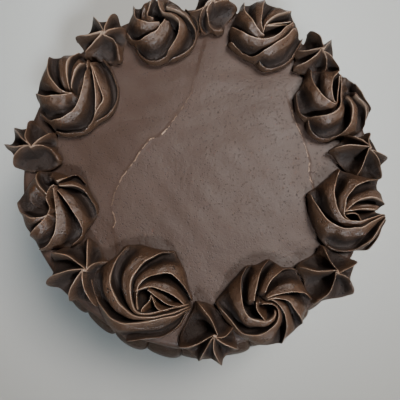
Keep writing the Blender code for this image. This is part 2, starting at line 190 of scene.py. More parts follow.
# Each swirl: place of its foot on the cake (radius, angle), both ends (x, y) of the hollow that its eye
# runs into, and its ridges, anticlockwise.
# A ridge runs inward through knots of radius, angle and heading, seen from the foot of the swirl.
SWIRLS = {
    "swirl_1": ((78.8, 148), ((-3.5, -0.5), (3, 11)), (
        ((17, 81, -124), (10, 101, -113), (3.5, 170, -80)),
        ((24.5, 90, -139), (21, 101, -117), (13, 119, -96), (4.5, 175, -65)),
        ((28, 129, -87), (21.4, 144, -79), (9.8, -172, -35), (5, -126, -21)),
        ((25, 183, -36), (15.3, -155, -8), (4.3, -118, 23)),
        ((25, 209, -45), (22.5, -122, -10), (11.7, -80, 62), (6, 30, 87), (20.5, 77, 95)),
        ((26.5, 242, -12), (22.3, -76, 39), (15, -36, 84), (13, 40, 104), (18, 66, 108)),
        ((20.5, 299, 28), (21.8, -22, 67), (21.6, 23, 110), (24.4, 60, 132)),
        ((18.5, 305, 62), (17, -25, 80), (13.3, 17, 111), (15.4, 53, 113)))),
    "swirl_2": ((81.9, 103), ((-2.9, 5), (-10, 9)), (
        ((22, 106, -110), (8, 156, -18)),
        ((25, 141, -78), (14, 179, -33), (2.8, -177, 12)),
        ((23, 184, -52), (16, -142, 2), (8.3, -127, 36), (2.5, 69, 71)),
        ((20.5, 215, -63), (21, -111, -6), (12.5, -61, 58), (8.4, 15, 121), (7.4, 90, 150), (15, 105, 97)),
        ((18.2, 281, 19), (18.4, -20, 72), (13, 31, 150), (10, 84, 162)),
        ((19, 355, 75), (19, 50, 140)))),
    "swirl_3": ((85.2, 62), ((-1.5, 0.5), (11, 7.5)), (
        ((23, 46, -123), (12, 63, -161), (3.1, 161, -103)),
        ((24, 89, -110), (7.5, 128, -83), (2.8, 172, -67)),
        ((26, 121, -93), (10, 157, -53), (3, -132, -26)),
        ((22, 163, -55), (11.7, -156, -26), (6.6, -93, 10), (17.5, 25, 52)),
        ((22, 187, -43), (14.5, -115, 5), (10, -57, 33), (18.6, 14, 57)),
        ((16.6, 252, -66), (19.7, -85, 8), (19.6, -59, 33), (22, 0, 62)))),
    "swirl_4": ((81.8, 23), ((2.5, 2), (4.4, 13)), (
        ((24, 75, -133), (11, 102, -99), (1.6, 39, -38)),
        ((26, 116, -96), (9.9, 151, -55), (1, -106, -5), (4.7, 50, 82), (17, 75, 80)),
        ((21, 155, -96), (17, -163, -47), (11, -130, 8), (4.5, -60, 48), (8.1, 53, 88), (18, 73, 87)),
        ((16, 212, -85), (19.6, -113, -16), (15, -61, 54), (9.4, -3, 103), (8.1, 31, 143)),
        ((22, 327, 91), (18, -7, 111), (13, 22, 128)),
        ((23, 357, 100), (19, 43, 112)))),
    "swirl_5": ((84.6, -19), ((-1, -2), (13, -1)), (
        ((16, 6, -175), (3, 172, -161)),
        ((22, 10, 143), (4, -171, -122)),
        ((26, 43, 175), (6, -102, -50)),
        ((24, 95, -130), (11, 149, -88), (7, -77, 0), (21, -4, 5)),
        ((22, 153, -75), (11, -105, -3), (21, -6, 18)),
        ((21, 241, -35), (21, -94, 0), (21, -9, 50)),
        ((23, 299, 50), (22, -12, 68)))),
    "swirl_6": ((83.6, -65), ((-1, -1.5), (-0.5, -1.2)), (
        ((22, 117, -141), (16, 160, -92), (9, -116, 5), (4, -36, 100)),
        ((26, 179, -46), (17, -116, 10), (5.5, -25, 98), (3.7, 153, -171)),
        ((21, 291, 70), (10, -30, 105), (4, 70, 161)),
        ((21, 333, 115), (12, 5, 118), (4, 100, -170)),
        ((24, 7, 127), (5, 104, -161)),
        ((24, 48, 157), (8, 109, -115)),
        ((23, 86, -155), (9, 160, -98)))),
    "swirl_7": ((73.7, -111), ((-4, -2), (12, -7)), (
        ((18, -21, 176), (11, -27, 150), (2, 72, 148)),
        ((20, -17, 135), (9.3, 13, 156), (4.7, 52, 174), (6.4, 169, -154)),
        ((23, -11, 106), (14, 48, 178), (6, 175, -95), (9, -120, -60)),
        ((25, 59, -175), (9.5, 170, -92), (11, -87, 5), (22, -17, 8)),
        ((27, 117, -127), (21, 156, -90), (13, -86, 0), (23, -20, 12)),
        ((31, 165, -82), (18, -119, 0), (24, -22, 20)),
        ((27, 246, 5), (24, -63, 30), (23, -28, 55)))),
    "swirl_8": ((79.2, -162), ((-4.6, -1), (-4.4, 7.5)), (
        ((24, 120, -100), (8, 130, -55)),
        ((23, 171, -80), (5, -111, 30)),
        ((21, 227, 25), (3, -147, 95), (8, 129, 80), (11, 96, 10)),
        ((24, 246, 0), (8, -66, 92), (10, 94, 92)),
        ((22, 291, 40), (18, -37, 95), (9, 79, 135)),
        ((21, 352, 90), (18, 27, 125), (12, 82, 180)),
        ((20, 47, 135), (20, 67, 178), (14, 90, -152)))),
}

# Small fins that lie wholly in a swirl's hollow, with knots as above.
INNER_FINS = {
    "swirl_3": (((16, 31, -174), (4.6, 98, -154)), ((13, 30, -173), (4.9, 85, -168))),
    "swirl_5": (((8, -41, 98), (4.6, -16, 142), (1.4, -151, -165)),),
    "swirl_6": (((6.2, -104, 142), (5.6, -166, 107), (6.1, 161, 95)),),
    "swirl_7": (((9, -100, 85), (5.1, -76, 53), (2.8, -30, 70)),
                ((14, -36, -167), (9.5, -52, 143), (2.8, -30, 114))),
}

# Each star: place of its peak (radius, angle) and its arms as tip radius, tip angle and heading there.
STARS = {
    "star_1": ((89.8, 126), ((14, 38, 200), (19, 75, 240), (18, 119, -60), (18, 173, -20),
                             (15, 215, 20), (14, -52, 75))),
    "star_2": ((92.5, 84), ((15, 12, 173), (18, 62, 230), (17, 118, -70), (14, 185, -20),
                            (14, -117, 126), (13, -64, 208))),
    "star_3": ((94.0, 42), ((14, 50, 215), (17, 105, -55), (14, 165, -37), (16, -156, -6),
                            (14, -94, 26), (14, -32, 124))),
    "star_4": ((92.0, 3.5), ((14, -14, 160), (13, 72, 230), (14, 133, -36), (19, 175, 0),
                             (15, -111, 58), (17, -60, 83))),
    "star_5": ((92.0, -40), ((15, 21, 190), (15, 108, -94), (19, 172, -25), (20, -123, 28),
                             (16, -47, 88))),
    "star_6": ((90.4, -85), ((11, 22, -136), (19, 121, -40), (20, -160, 7), (16, -122, 54),
                             (16, -76, 122), (15, -32, 151))),
    "star_7": ((81.8, -135), ((12, 25, 161), (18, 95, -73), (23, 156, -1), (23, -163, 38),
                              (18, -122, 66), (19, -76, 118))),
    "star_8": ((90.0, 175.5), ((15, 50, 230), (19, 98, -112), (19, 133, -52), (18, 167, -32),
                               (14, -145, 66), (15, -18, 100))),
}

# Marks of the spatula on the top as x, y and strength: a raised seam, a crease and a ledge.
TOP_SEAM = ((0, 59, 0.0), (-4, 43, 0.1), (-10, 33, 0.25), (-16.5, 23.5, 0.7), (-20, 19.5, 0.9),
            (-22, 17, 0.8), (-27, 16, 0.9), (-30, 12, 0.7), (-33.5, 7, 0.8), (-36, 3, 0.7), (-39, -1, 0.8),
            (-43, -7, 0.4), (-47, -16.5, 0.25), (-48, -23, 0.2), (-45.5, -31, 0.6), (-46.5, -34, 0.8),
            (-46, -37, 0.7))
TOP_CREASE = ((-56, 23, -0.3), (-45, 27, -0.5), (-27, 29, -0.5), (-18, 27, -0.1))
TOP_LEDGE = ((54.5, 33, 0.5), (56, 27, 0.8), (59.5, 18, 0.7), (62, 9, 0.6), (63.5, 2.5, 0.8), (62.5, -4, 0.7),
             (64.5, -12, 0.7))


Relief = namedtuple("Relief", "height crest groove lean lip profile")


def direction(angle):
    return np.array((math.cos(math.radians(angle)), math.sin(math.radians(angle))))


def length(vectors):
    return np.hypot(vectors[..., 0], vectors[..., 1])


def cross(first, second):
    return first[:, 0] * second[:, 1] - first[:, 1] * second[:, 0]


def to_left(vectors):
    return np.column_stack((-vectors[:, 1], vectors[:, 0]))


def wrapped(angle):
    return (angle + HALF_TURN) % FULL_TURN - HALF_TURN


def waves(points, wave_length, seed, count=WAVE_COUNT):
    """Smooth seeded unevenness of about one unit over a length."""
    maker = np.random.default_rng(seed)
    total = np.zeros(len(points))
    for _ in range(count):
        heading = maker.normal(size=points.shape[1])
        heading *= maker.uniform(*WAVE_QUICKENED) / np.linalg.norm(heading)
        total += np.sin(points @ heading * (2 * math.pi / wave_length) + maker.uniform(0, 2 * math.pi))
    return total / math.sqrt(count / 2)


def uneven(points, rows):
    """The sum of several waves, given as rows of depth, length and seed."""
    return sum(depth * waves(points, wave_length, seed) for depth, wave_length, seed in rows)


def span(start, start_heading, end, end_heading):
    """Smooth cubic from start to end with the two headings, its handles sized for the turn."""
    least_half, longest_handle = 0.05, 0.75
    chord = np.linalg.norm(end - start)
    half = max(abs(math.radians(wrapped(end_heading - start_heading))) / 2.0, least_half)
    handle = min(chord * (2.0 / 3.0) * math.tan(half / 2.0) / math.sin(half), longest_handle * chord)
    first = start + handle * direction(start_heading)
    second = end - handle * direction(end_heading)
    t = np.linspace(0.0, 1.0, STEPS_PER_SPAN + 1)[:, None]
    s = 1.0 - t
    return s ** 3 * start + 3 * s * s * t * first + 3 * s * t * t * second + t ** 3 * end


def course(knots):
    """Line through knots of radius, angle and heading."""
    points = [knot[0] * direction(knot[1]) for knot in knots]
    parts = []
    for index in range(len(knots) - 1):
        piece = span(points[index], knots[index][2], points[index + 1], knots[index + 1][2])
        parts.append(piece if index == 0 else piece[1:])
    return np.vstack(parts)


def resample(line, step):
    """The line with its points about a step apart."""
    lengths = np.append(0.0, np.cumsum(length(np.diff(line, axis=0))))
    stations = np.linspace(0.0, lengths[-1], max(2, round(lengths[-1] / step)) + 1)
    return np.column_stack([np.interp(stations, lengths, line[:, axis]) for axis in (0, 1)])


def nearest_on(points, line):
    """For each point the nearest segment of a line, the share along it, the way from it, and its run."""
    start = line[:-1]
    run = line[1:] - start
    offset = points[:, None, :] - start[None]
    along = np.clip((offset * run).sum(2) / (run ** 2).sum(1), 0.0, 1.0)
    gap = offset - along[..., None] * run
    segment = length(gap).argmin(axis=1)
    rows = np.arange(len(points))
    return segment, along[rows, segment], gap[rows, segment], run[segment]


def beside(points, crest):
    """Distance from a crest, how far a point is on its right, and the way to its left."""
    _, _, gap, run = nearest_on(points, crest)
    distance = length(gap)
    heading = run / np.linalg.norm(run, axis=1)[:, None]
    side = cross(heading, gap) / np.maximum(distance, TINY)
    return distance, (1.0 - side) / 2.0, to_left(heading)


def flank(share):
    """Fall across the slot from one crest, gently at first, to the steep wall of the next."""
    lip = LIP_FALL * np.minimum(share / LIP, 1.0) ** LIP_POWER
    slope = np.clip((share - SLOPE_START) / (SLOPE_END - SLOPE_START), 0.0, 1.0)
    falling = lip + (1.0 - LIP_FALL) * slope * slope * (3.0 - 2.0 * slope)
    rising = np.minimum((1.0 - share) / (1.0 - VALLEY), 1.0) ** WALL_POWER
    return np.where(share < VALLEY, falling, rising)


def slot(share, right_of_near, right_of_far):
    """Depth of a slot between two crests, from nought to one, by how a point lies to both."""
    steep = np.minimum(1.0, (share / (1.0 - VALLEY)) ** WALL_POWER)
    left_of_near = right_of_far * flank(1.0 - share) + (1.0 - right_of_far) * steep
    return right_of_near * flank(share) + (1.0 - right_of_near) * left_of_near


class Mound:
    """Piped shape as a height over the plan, with a sharp crest along each of its ridges."""

    def __init__(self, place, knots, rise, roll, bulge, bulge_most, hollow=None, fins=()):
        self.centre = place[0] * direction(place[1])
        self.ridges = [course(row) for row in knots]
        self.crests = self.ridges + [course(row) for row in fins]
        self.rise = rise
        self.roll = roll
        self.hollow = None if hollow is None else np.array(hollow, float)
        self.angles = np.arange(0.0, FULL_TURN, OUTLINE_STEP)
        self.radii = self.smoothed(self.round_crests(self.between_tips(knots, bulge, bulge_most)))

    def between_tips(self, knots, bulge, bulge_most):
        """Radii of the outline from ridge end to ridge end, swelling out or in between them."""
        tips = sorted((row[0][1] % FULL_TURN, row[0][0]) for row in knots)
        tips.append((tips[0][0] + FULL_TURN, tips[0][1]))
        radii = np.zeros(len(self.angles))
        for index, angle in enumerate(self.angles):
            turned = angle if angle >= tips[0][0] else angle + FULL_TURN
            for low, high in zip(tips[:-1], tips[1:]):
                if low[0] <= turned < high[0]:
                    share = (turned - low[0]) / (high[0] - low[0])
                    chord = math.radians(high[0] - low[0]) * (low[1] + high[1]) / 2.0
                    swell = max(min(bulge * chord, bulge_most), -bulge_most)
                    radii[index] = low[1] + (high[1] - low[1]) * share
                    radii[index] += swell * math.sin(math.pi * share ** BULGE_SKEW)
        return radii

    def round_crests(self, radii):
        """The radii pushed out where a ridge would come through the outline."""
        for crest in self.ridges:
            bearings = np.degrees(np.arctan2(crest[:, 1], crest[:, 0]))
            for far, bearing in zip(length(crest) + CREST_MARGIN, bearings):
                offset = np.abs(wrapped(self.angles - bearing))
                radii = np.where(offset < OUTLINE_REACH, np.maximum(radii, far), radii)
        return radii

    @staticmethod
    def smoothed(radii):
        for _ in range(OUTLINE_SMOOTHINGS):
            radii = (np.roll(radii, 1) + radii + np.roll(radii, -1)) / 3.0
        return radii

    def reach(self, points):
        bearing = np.degrees(np.arctan2(points[:, 1], points[:, 0])) % FULL_TURN
        return np.interp(bearing, np.append(self.angles, FULL_TURN), np.append(self.radii, self.radii[0]))

    def inside(self, points):
        return self.reach(points) - length(points)

    def dome(self, points):
        share = np.clip(self.inside(points) / self.roll, 0.0, 1.0)
        return self.rise * np.sqrt(1.0 - (1.0 - share) ** 2)

    def pit(self, points, crest):
        """Depth of the sunk eye, which is less along the crests that run into it."""
        away = beside(points, self.hollow)[0] / SWIRL_PIT_WIDTH
        rest = SWIRL_PIT_CREST + (1.0 - SWIRL_PIT_CREST) * (1.0 - np.exp(-(crest / PIT_CREST_REACH) ** 2))
        return SWIRL_PIT * np.exp(-away ** 2) * rest

    def relief(self, points):
        """Height over the cake's top, and how each point lies to its two nearest crests."""
        rows = np.arange(len(points))
        distance, right, left = map(np.array, zip(*(beside(points, crest) for crest in self.crests)))
        near, far = np.argsort(distance, axis=0)[:2]
        first, second = distance[near, rows], distance[far, rows]
        width = first + second + TINY
        share = np.maximum(first - CREST_HALF, 0.0) / width
        dome = self.dome(points)
        if self.hollow is None:
            on_right = np.ones(len(points))
            ease = 1.0
            profile = np.sin(math.pi * share)
        else:
            on_right = right[near, rows]
            ease = 1.0 - WIDE_EASE * np.clip((width - WIDE_START) / (WIDE_END - WIDE_START), 0.0, 1.0)
            profile = slot(share, on_right, right[far, rows])
            dome = np.maximum(dome - self.pit(points, first), 0.0)
        depth = np.minimum(np.minimum(DEPTH_SHARE * width, DEPTH_MOST), GROOVE_SHARE * dome) * ease
        groove = depth * profile
        height = np.maximum(dome - groove, 0.0) + RIM_WALL
        fade = np.clip(dome / self.rise, 0.0, 1.0)
        fade = fade * np.exp(-(first / CREST_LEAN_REACH) ** CREST_LEAN_POWER)
        lean = left[near, rows] * (CREST_LEAN * fade)[:, None]
        # where the painted highlight on the lip beside the crest goes
        lip = on_right * np.exp(-(first / LIP_REACH) ** 2)
        return Relief(height, first, groove, lean, lip, profile)


def within(mound, points, room):
    """The points that keep some room from the mound's outline, as pairs."""
    return list(map(tuple, points[mound.inside(points) > room]))


def clear_of(batch, placed, room):
    """The points of a batch that keep some room from the points already placed."""
    tree = kdtree.KDTree(len(placed))
    for index, point in enumerate(placed):
        tree.insert((*point, 0.0), index)
    tree.balance()
    return [point for point in batch if tree.find((*point, 0.0))[2] > room]


def triangle_grid(radius, step):
    """Points of a grid of even triangles that covers a circle."""
    widest = int(radius / step) + 2
    grid = []
    for row in range(-widest, widest + 1):
        for column in range(-widest, widest + 1):
            grid.append(((column + 0.5 * (row % 2)) * step, row * step * GRID_ROW))
    return np.array(grid)


def plan_mesh(mound, step):
    """Triangles over the plan of a mound, with edges along its outline and crests."""
    count = int(2 * math.pi * mound.radii.mean() / step)
    rays = np.array([direction(index * FULL_TURN / count) for index in range(count)])
    points = list(map(tuple, rays * mound.reach(rays)[:, None]))
    edges = [(index, (index + 1) % count) for index in range(count)]
    side_rows = []
    for crest in mound.crests:
        line = resample(crest, step)
        run = np.gradient(line, axis=0)
        left = to_left(run) / np.linalg.norm(run, axis=1)[:, None]
        side_rows += [line + LEFT_ROW * left, line - RIGHT_ROW * left]
        kept = set(clear_of(within(mound, line, RIM_ROOM * step), points, CREST_ROOM * step))
        last = None
        for point in map(tuple, line):
            if point not in kept:
                last = None
                continue
            if last is not None:
                edges.append((last, len(points)))
            last = len(points)
            points.append(point)
    points += clear_of(within(mound, np.vstack(side_rows), RIM_ROOM * step), points, ROW_ROOM * LEFT_ROW)
    grid = triangle_grid(mound.radii.max(), step)
    points += clear_of(within(mound, grid, RIM_ROOM * step), points, GRID_ROOM * step)
    outline = [list(range(count))]
    flat, _, faces, _, _, _ = delaunay_2d_cdt([Vector(point) for point in points], edges, outline, 1, MERGE)
    return np.array([(point.x, point.y) for point in flat]), np.array(faces)


def sides(faces):
    return np.vstack((faces[:, [0, 1]], faces[:, [1, 2]], faces[:, [2, 0]]))


def halve(points, faces):
    """Split every triangle in four at the middles of its edges."""
    unique, index = np.unique(np.sort(sides(faces), axis=1), axis=0, return_inverse=True)
    middles = (points[unique[:, 0]] + points[unique[:, 1]]) / 2
    a, b, c = faces.T
    ab, bc, ca = index.reshape(3, -1) + len(points)
    corners = ((a, ab, ca), (ab, b, bc), (ca, bc, c), (ab, bc, ca))
    return np.vstack((points, middles)), np.vstack([np.column_stack(corner) for corner in corners])


def boundary(faces):
    """The outer loop of a triangle mesh, in the order of its triangles."""
    known = set(map(tuple, sides(faces)))
    following = {start: end for start, end in known if (end, start) not in known}
    loop = [min(following)]
    while following[loop[-1]] != loop[0]:
        loop.append(following[loop[-1]])
    return loop


def skin(rings):
    """Points and faces of a solid through rings of points, with a flat end on the first and the last."""
    count = len(rings[0])
    faces = []
    for ring in range(len(rings) - 1):
        low = ring * count
        for index in range(count):
            following = (index + 1) % count
            faces.append((low + index, low + following, low + count + following, low + count + index))
    faces.append(tuple(range(count - 1, -1, -1)))
    faces.append(tuple(range((len(rings) - 1) * count, len(rings) * count)))
    return np.vstack(rings), faces


def add_piece(name, points, faces, material, node, values=None, sharp_angle=None):
    """A named mesh that rides on the cake and stands for one of its solids."""
    mesh = bpy.data.meshes.new(name)
    mesh.from_pydata((points * MM).tolist(), [], [list(map(int, face)) for face in faces])
    mesh.validate()
    mesh.shade_smooth()
    if sharp_angle is not None:
        mesh.set_sharp_from_angle(angle=math.radians(sharp_angle))
    for key, value in (values or {}).items():
        layer = mesh.attributes.new(key, "FLOAT", "POINT")
        layer.data.foreach_set("value", value.astype(np.float32))
    mesh.materials.append(material)
    piece = bpy.data.objects.new(name, mesh)
    bpy.context.scene.collection.objects.link(piece)
    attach(piece, "root")
    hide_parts(node)


def foot_rows(rim, outward):
    """Rings of points from a mound's rim down into the cake, drawn in under the outermost crests."""
    rise = rim[:, 2] - BODY_HEIGHT
    rows = []
    for share in WALL_ROWS:
        row = rim.copy()
        row[:, :2] -= outward * (rise * UNDERCUT * (1.0 - share))[:, None]
        row[:, 2] = BODY_HEIGHT + rise * share
        rows.append(row)
    return rows


def with_foot(top, loop, foot, faces):
    """Points and faces of a mound's top closed by its foot, ring under ring, and a flat base."""
    rings = [np.array(loop)]
    for row in range(len(foot)):
        rings.append(len(top) + row * len(loop) + np.arange(len(loop)))
    closed = list(map(tuple, faces))
    for upper, lower in zip(rings[:-1], rings[1:]):
        for index in range(len(loop)):
            following = (index + 1) % len(loop)
            closed.append((upper[following], upper[index], lower[index], lower[following]))
    closed.append(tuple(rings[-1]))
    return np.vstack([top] + foot), closed


def build_mound(node, mound, material, seed):
    points, faces = halve(*plan_mesh(mound, FILL_STEP))
    points, faces = halve(points, faces)
    loop = boundary(faces)
    pull = np.ones(len(points))
    pull[loop] = RIM_PULL
    relief = mound.relief(points * pull[:, None])
    tall = np.column_stack((points, relief.height))
    height = relief.height + RIPPLE * waves(points, RIPPLE_LENGTH, seed)
    height += CREST_LIP * np.exp(-relief.crest / CREST_LIP_REACH)
    sway = np.column_stack([waves(tall, SWAY_LENGTH, seed + axis) for axis in (2, 3)])
    moved = points + relief.lean + SWAY * sway
    top = np.column_stack((moved + mound.centre, BODY_HEIGHT + height))
    foot = foot_rows(top[loop], moved[loop] / np.linalg.norm(moved[loop], axis=1)[:, None])
    every, faces = with_foot(top, loop, foot, faces)
    tallness = np.clip(height / mound.rise, 0.0, 1.0)
    rest = len(every) - len(top)
    values = {
        # distance from the crest, for the painted highlight line along it
        "edge": np.append(relief.crest + EDGE_FADE * (1.0 - tallness), np.full(rest, EDGE_FAR)),
        "mark": np.ones(len(every)),
        # depth of the groove, for the painted shade in the valleys
        "deep": np.append(np.clip(relief.groove / DEEP_REACH, 0.0, 1.0), np.zeros(rest)),
        # painted highlight on the lip beside each crest, stronger on taller parts
        "lip": np.append(relief.lip * tallness, np.zeros(rest)),
        "dull": np.append(np.clip(relief.profile, 0.0, 1.0), np.ones(rest)),
    }
    add_piece(node + "_piped", every, faces, material, node, values)


def mark_distance(points, mark):
    """Signed distance from a mark, positive on its left, and the mark's strength there."""
    mark = np.array(mark, float)
    segment, along, gap, run = nearest_on(points, mark[:, :2])
    strength = mark[segment, 2] + along * (mark[segment + 1, 2] - mark[segment, 2])
    return length(gap) * np.sign(cross(run, gap)), strength


def top_marks(plan):
    """Signed distance from the nearest mark of the spatula, and its strength."""
    found = [mark_distance(plan, mark) for mark in (TOP_SEAM, TOP_CREASE, TOP_LEDGE)]
    away, strength = map(np.array, zip(*found))
    nearest = np.abs(away).argmin(axis=0)
    rows = np.arange(len(plan))
    return away[nearest, rows], strength[nearest, rows]


def step_beside(distance, rise, reach):
    """A low step along a line, highest just on its left and fading out over the reach."""
    return rise / (1.0 + np.exp(-distance / STEP_BLUR)) * np.exp(-(distance / reach) ** 2)


def top_relief(plan):
    """Unevenness of the spread top, with the step at the seam, the ledge and a lip along every mark."""
    streaks = np.column_stack((plan[:, 0], plan[:, 1] * STREAK_STRETCH))
    relief = uneven(plan, TOP_WAVES)
    relief += STREAK_DEPTH * waves(streaks, STREAK_LENGTH, STREAK_SEED, STREAK_COUNT)
    seam = mark_distance(plan, TOP_SEAM)[0]
    relief += step_beside(seam, SEAM_STEP, SEAM_REACH)
    relief -= SEAM_SLOPE * np.clip(-seam, 0.0, SEAM_SLOPE_REACH)
    relief -= step_beside(mark_distance(plan, TOP_LEDGE)[0], LEDGE_STEP, LEDGE_REACH)
    away, strength = top_marks(plan)
    relief += MARK_RISE * strength * np.exp(-(away / MARK_REACH) ** 2)
    return relief - TOP_SINK


def body_profile(rings):
    """Radius and height up the side, round the top edge and in over the top."""
    round_radius = BODY_TOP_RADIUS - BODY_ROUND
    round_height = BODY_HEIGHT - BODY_ROUND
    upright = BODY_HEIGHT * BODY_UPRIGHT
    profile = [(BODY_RADIUS, height) for height in np.linspace(0.0, upright, BODY_UPRIGHT_ROWS)]
    for share in np.linspace(0.0, 1.0, BODY_TAPER_ROWS)[1:-1]:
        radius = BODY_RADIUS + (BODY_TOP_RADIUS - BODY_RADIUS) * share
        profile.append((radius, upright + (round_height - upright) * share))
    for step in range(BODY_ROUND_STEPS + 1):
        turn = math.radians(QUARTER_TURN * step / BODY_ROUND_STEPS)
        radius = round_radius + BODY_ROUND * math.cos(turn)
        profile.append((radius, round_height + BODY_ROUND * math.sin(turn)))
    inward = np.linspace(round_radius, BODY_LAST_RING, rings)[1:]
    return profile + [(radius, BODY_HEIGHT) for radius in inward]


def build_body(material):
    columns = BODY_COLUMNS
    turn = np.arange(columns) * 2 * math.pi / columns
    rings = []
    for radius, height in body_profile(BODY_RINGS):
        level = np.full(columns, height)
        rings.append(np.column_stack((radius * np.cos(turn), radius * np.sin(turn), level)))
    points, faces = skin(rings)
    plan = points[:, :2]
    reach = length(plan)
    top = np.clip((points[:, 2] - (BODY_HEIGHT - BODY_ROUND)) / BODY_ROUND, 0.0, 1.0) ** 2
    points[:, 2] += top * top_relief(plan) * np.clip((TOP_RIM - reach) / TOP_RIM_REACH, TOP_RIM_LEAST, 1.0)
    side = np.clip(points[:, 2] / SIDE_START, 0.0, 1.0) * (1.0 - top)
    swell = uneven(np.column_stack((plan, points[:, 2] * SIDE_STRETCH)), SIDE_WAVES) - SIDE_SINK
    points[:, :2] *= (1.0 + side * swell / np.maximum(reach, 1.0))[:, None]
    away, strength = top_marks(plan)
    # Distance from the nearest spatula mark and its strength, for the painted highlight line along the marks
    values = {"edge": away, "mark": strength * top}
    add_piece("cake_body_coated", points, faces, material, "cake_body", values)


def build_shell(index, material):
    """One shell of the border, from neck to neck, a little different from its neighbours."""
    pitch = FULL_TURN / SHELL_COUNT
    sections = SHELL_SECTIONS
    around = SHELL_AROUND
    maker = np.random.default_rng(SHELL_SEED + index)
    shrink = 1.0 - maker.uniform(SHELL_SMALLEST, 1.0)
    twist = maker.uniform(-SHELL_TWIST, SHELL_TWIST)
    rings = []
    for section in range(sections):
        across = -1.0 + 2.0 * section / (sections - 1)
        middle = 1.0 - across * across
        lean = across - SHELL_HEAD * middle + twist * middle
        size = SHELL_NECK + (1.0 - SHELL_NECK) * math.sqrt(max(0.0, 1.0 - lean * lean))
        size *= 1.0 - shrink * middle
        ring = [(SHELL_INNER, 0.0)]
        for point in range(around):
            turn = math.radians(QUARTER_TURN * point / (around - 1))
            out = SHELL_INNER + size * SHELL_DEPTH * math.cos(turn) ** SHELL_SHOULDER
            ring.append((out, size * SHELL_HEIGHT * math.sin(turn)))
        heading = direction(SHELL_PHASE + pitch * index + pitch / 2.0 * across)
        rings.append([(radius * heading[0], radius * heading[1], height) for radius, height in ring])
    points, faces = skin(rings)
    node = "shell_%02d" % (index + 1)
    add_piece(node + "_piped", points, faces, material, node, sharp_angle=SHELL_SHARP_ANGLE)


# Looks of the icing. Colours are linear; scales count noise or cells to the metre; a fall is the value at
# which a mark is full and the value at which it is gone.
# The pore, edge and lip shares set how much painted shade goes into the pores and how strong the painted
# highlights along crests and on lips are
Look = namedtuple(
    "Look", "dark light roughness shine bump lumps pore_scale pore_share edge_share lip_share ragged")
COAT = Look(
    dark=(0.034, 0.0190, 0.0135), light=(0.056, 0.0325, 0.0235), roughness=0.47, shine=0.33, bump=0.25,
    lumps=1.0, pore_scale=330.0, pore_share=0.45, edge_share=1.0, lip_share=0.0, ragged=True)
PIPED = Look(
    dark=(0.036, 0.0178, 0.0094), light=(0.060, 0.0315, 0.0180), roughness=0.40, shine=0.46, bump=0.45,
    lumps=3.0, pore_scale=400.0, pore_share=0.95, edge_share=0.75, lip_share=0.35, ragged=False)
# Painted shade in the valleys of the piped icing: near-black mixed in by the depth of the groove
DEEP_SHADE_COLOUR = (0.008, 0.0035, 0.002)
DEEP_SHADE_SHARE = 0.88
DEEP_DULL = 0.4
# Painted highlight: a lighter brown on the lit lip just beyond each crest of the piped icing
LIP_HIGHLIGHT_COLOUR = (0.10, 0.056, 0.036)
# Painted shade: near-black in the small pores and pits of the icing, which the bump also dents
PIT_SHADE_COLOUR = (0.006, 0.003, 0.002)
PORE_FALL = (0.12, 0.20)
PORE_PATCH_FALL = (0.50, 0.40)
PORE_DEPTH = -1.5
# Small pits in patches, dented and painted near-black as their shade
SHADED_PIT_SCALE = 520.0
SHADED_PIT_FALL = (0.12, 0.26)
SHADED_PIT_PATCH_FALL = (0.40, 0.34)
SHADED_PIT_SHARE = 0.4
SHADED_PIT_DEPTH = -1.0

# Noises, as scale, detail and roughness
MOTTLE = (38.0, 5.0, 0.6)
GRAIN = (550.0, 5.0, 0.65)
PATCHES = (45.0, 2.0, 0.5)
LUMPS = (170.0, 3.0, 0.5)
HIGHLIGHT_GAPS = (330.0, 1.0, 0.5)

# Painted highlight lines along crests and marks: their half width, and how they are faded, ragged and broken
EDGE_HIGHLIGHT_COLOUR = (0.30, 0.20, 0.14)
EDGE_FALL = (0.12, 0.36)
EDGE_HIGHLIGHT_FADED = 0.45
EDGE_HIGHLIGHT_FADED_RANGE = (0.3, 0.6)
EDGE_RAGGED = 2.4
HIGHLIGHT_GAP_FALL = (0.52, 0.42)

# Roughness over the mottling, and the light that goes under the icing's surface
SMOOTHER = 0.06
ROUGHER = 0.08
SHEEN_RANGE = (0.3, 0.7)
ICING_BODY = {
    "Subsurface Weight": 0.08,
    "Subsurface Radius": (0.9, 0.5, 0.3),
    "Subsurface Scale": 0.0012,
    "IOR": 1.42,
}

# Stage, lamps (name, place, target, size, power, colour and spread) and camera, in metres and watts
FLOOR_HALF = 3.0
FLOOR_COLOUR = (0.40, 0.40, 0.38)
FLOOR_ROUGHNESS = 0.85
LAMPS = (
    ("overhead", (0.34, 0.24, 0.95), (0.0, 0.0, 0.08), (0.4, 0.4), 15.0, (1.0, 0.97, 0.94), 180.0),
    ("window", (0.15, -0.8, 0.9), (0.0, 0.10, 0.09), (0.20, 0.14), 0.7, (0.80, 0.91, 1.0), 28.0),
)
ROOM_COLOUR = (0.8, 0.85, 0.9)
ROOM_STRENGTH = 0.02
CAMERA_PLACE = (-0.00142, -0.05639, 0.301)
CAMERA_TURN = (9.512, -0.553, -0.421)
CAMERA_LENS = 36.24
CAMERA_SENSOR = 36.0
CAMERA_NEAR = 0.01


def opaque(colour):
    return (*colour, 1.0)


def put(tree, kind, values, **settings):
    """Add a shader node, set or link its inputs, and give its outputs."""
    node = tree.nodes.new("ShaderNode" + kind)
    for key, value in settings.items():
        setattr(node, key, value)
    for key, value in values:
        if isinstance(value, bpy.types.NodeSocket):
            tree.links.new(value, node.inputs[key])
        else:
            node.inputs[key].default_value = value
    return node.outputs


def noise(tree, place, scale, detail, roughness):
    values = (("Vector", place), ("Scale", scale), ("Detail", detail), ("Roughness", roughness))
    return put(tree, "TexNoise", values)["Fac"]


def cells(tree, place, scale):
    return put(tree, "TexVoronoi", (("Vector", place), ("Scale", scale)))["Distance"]


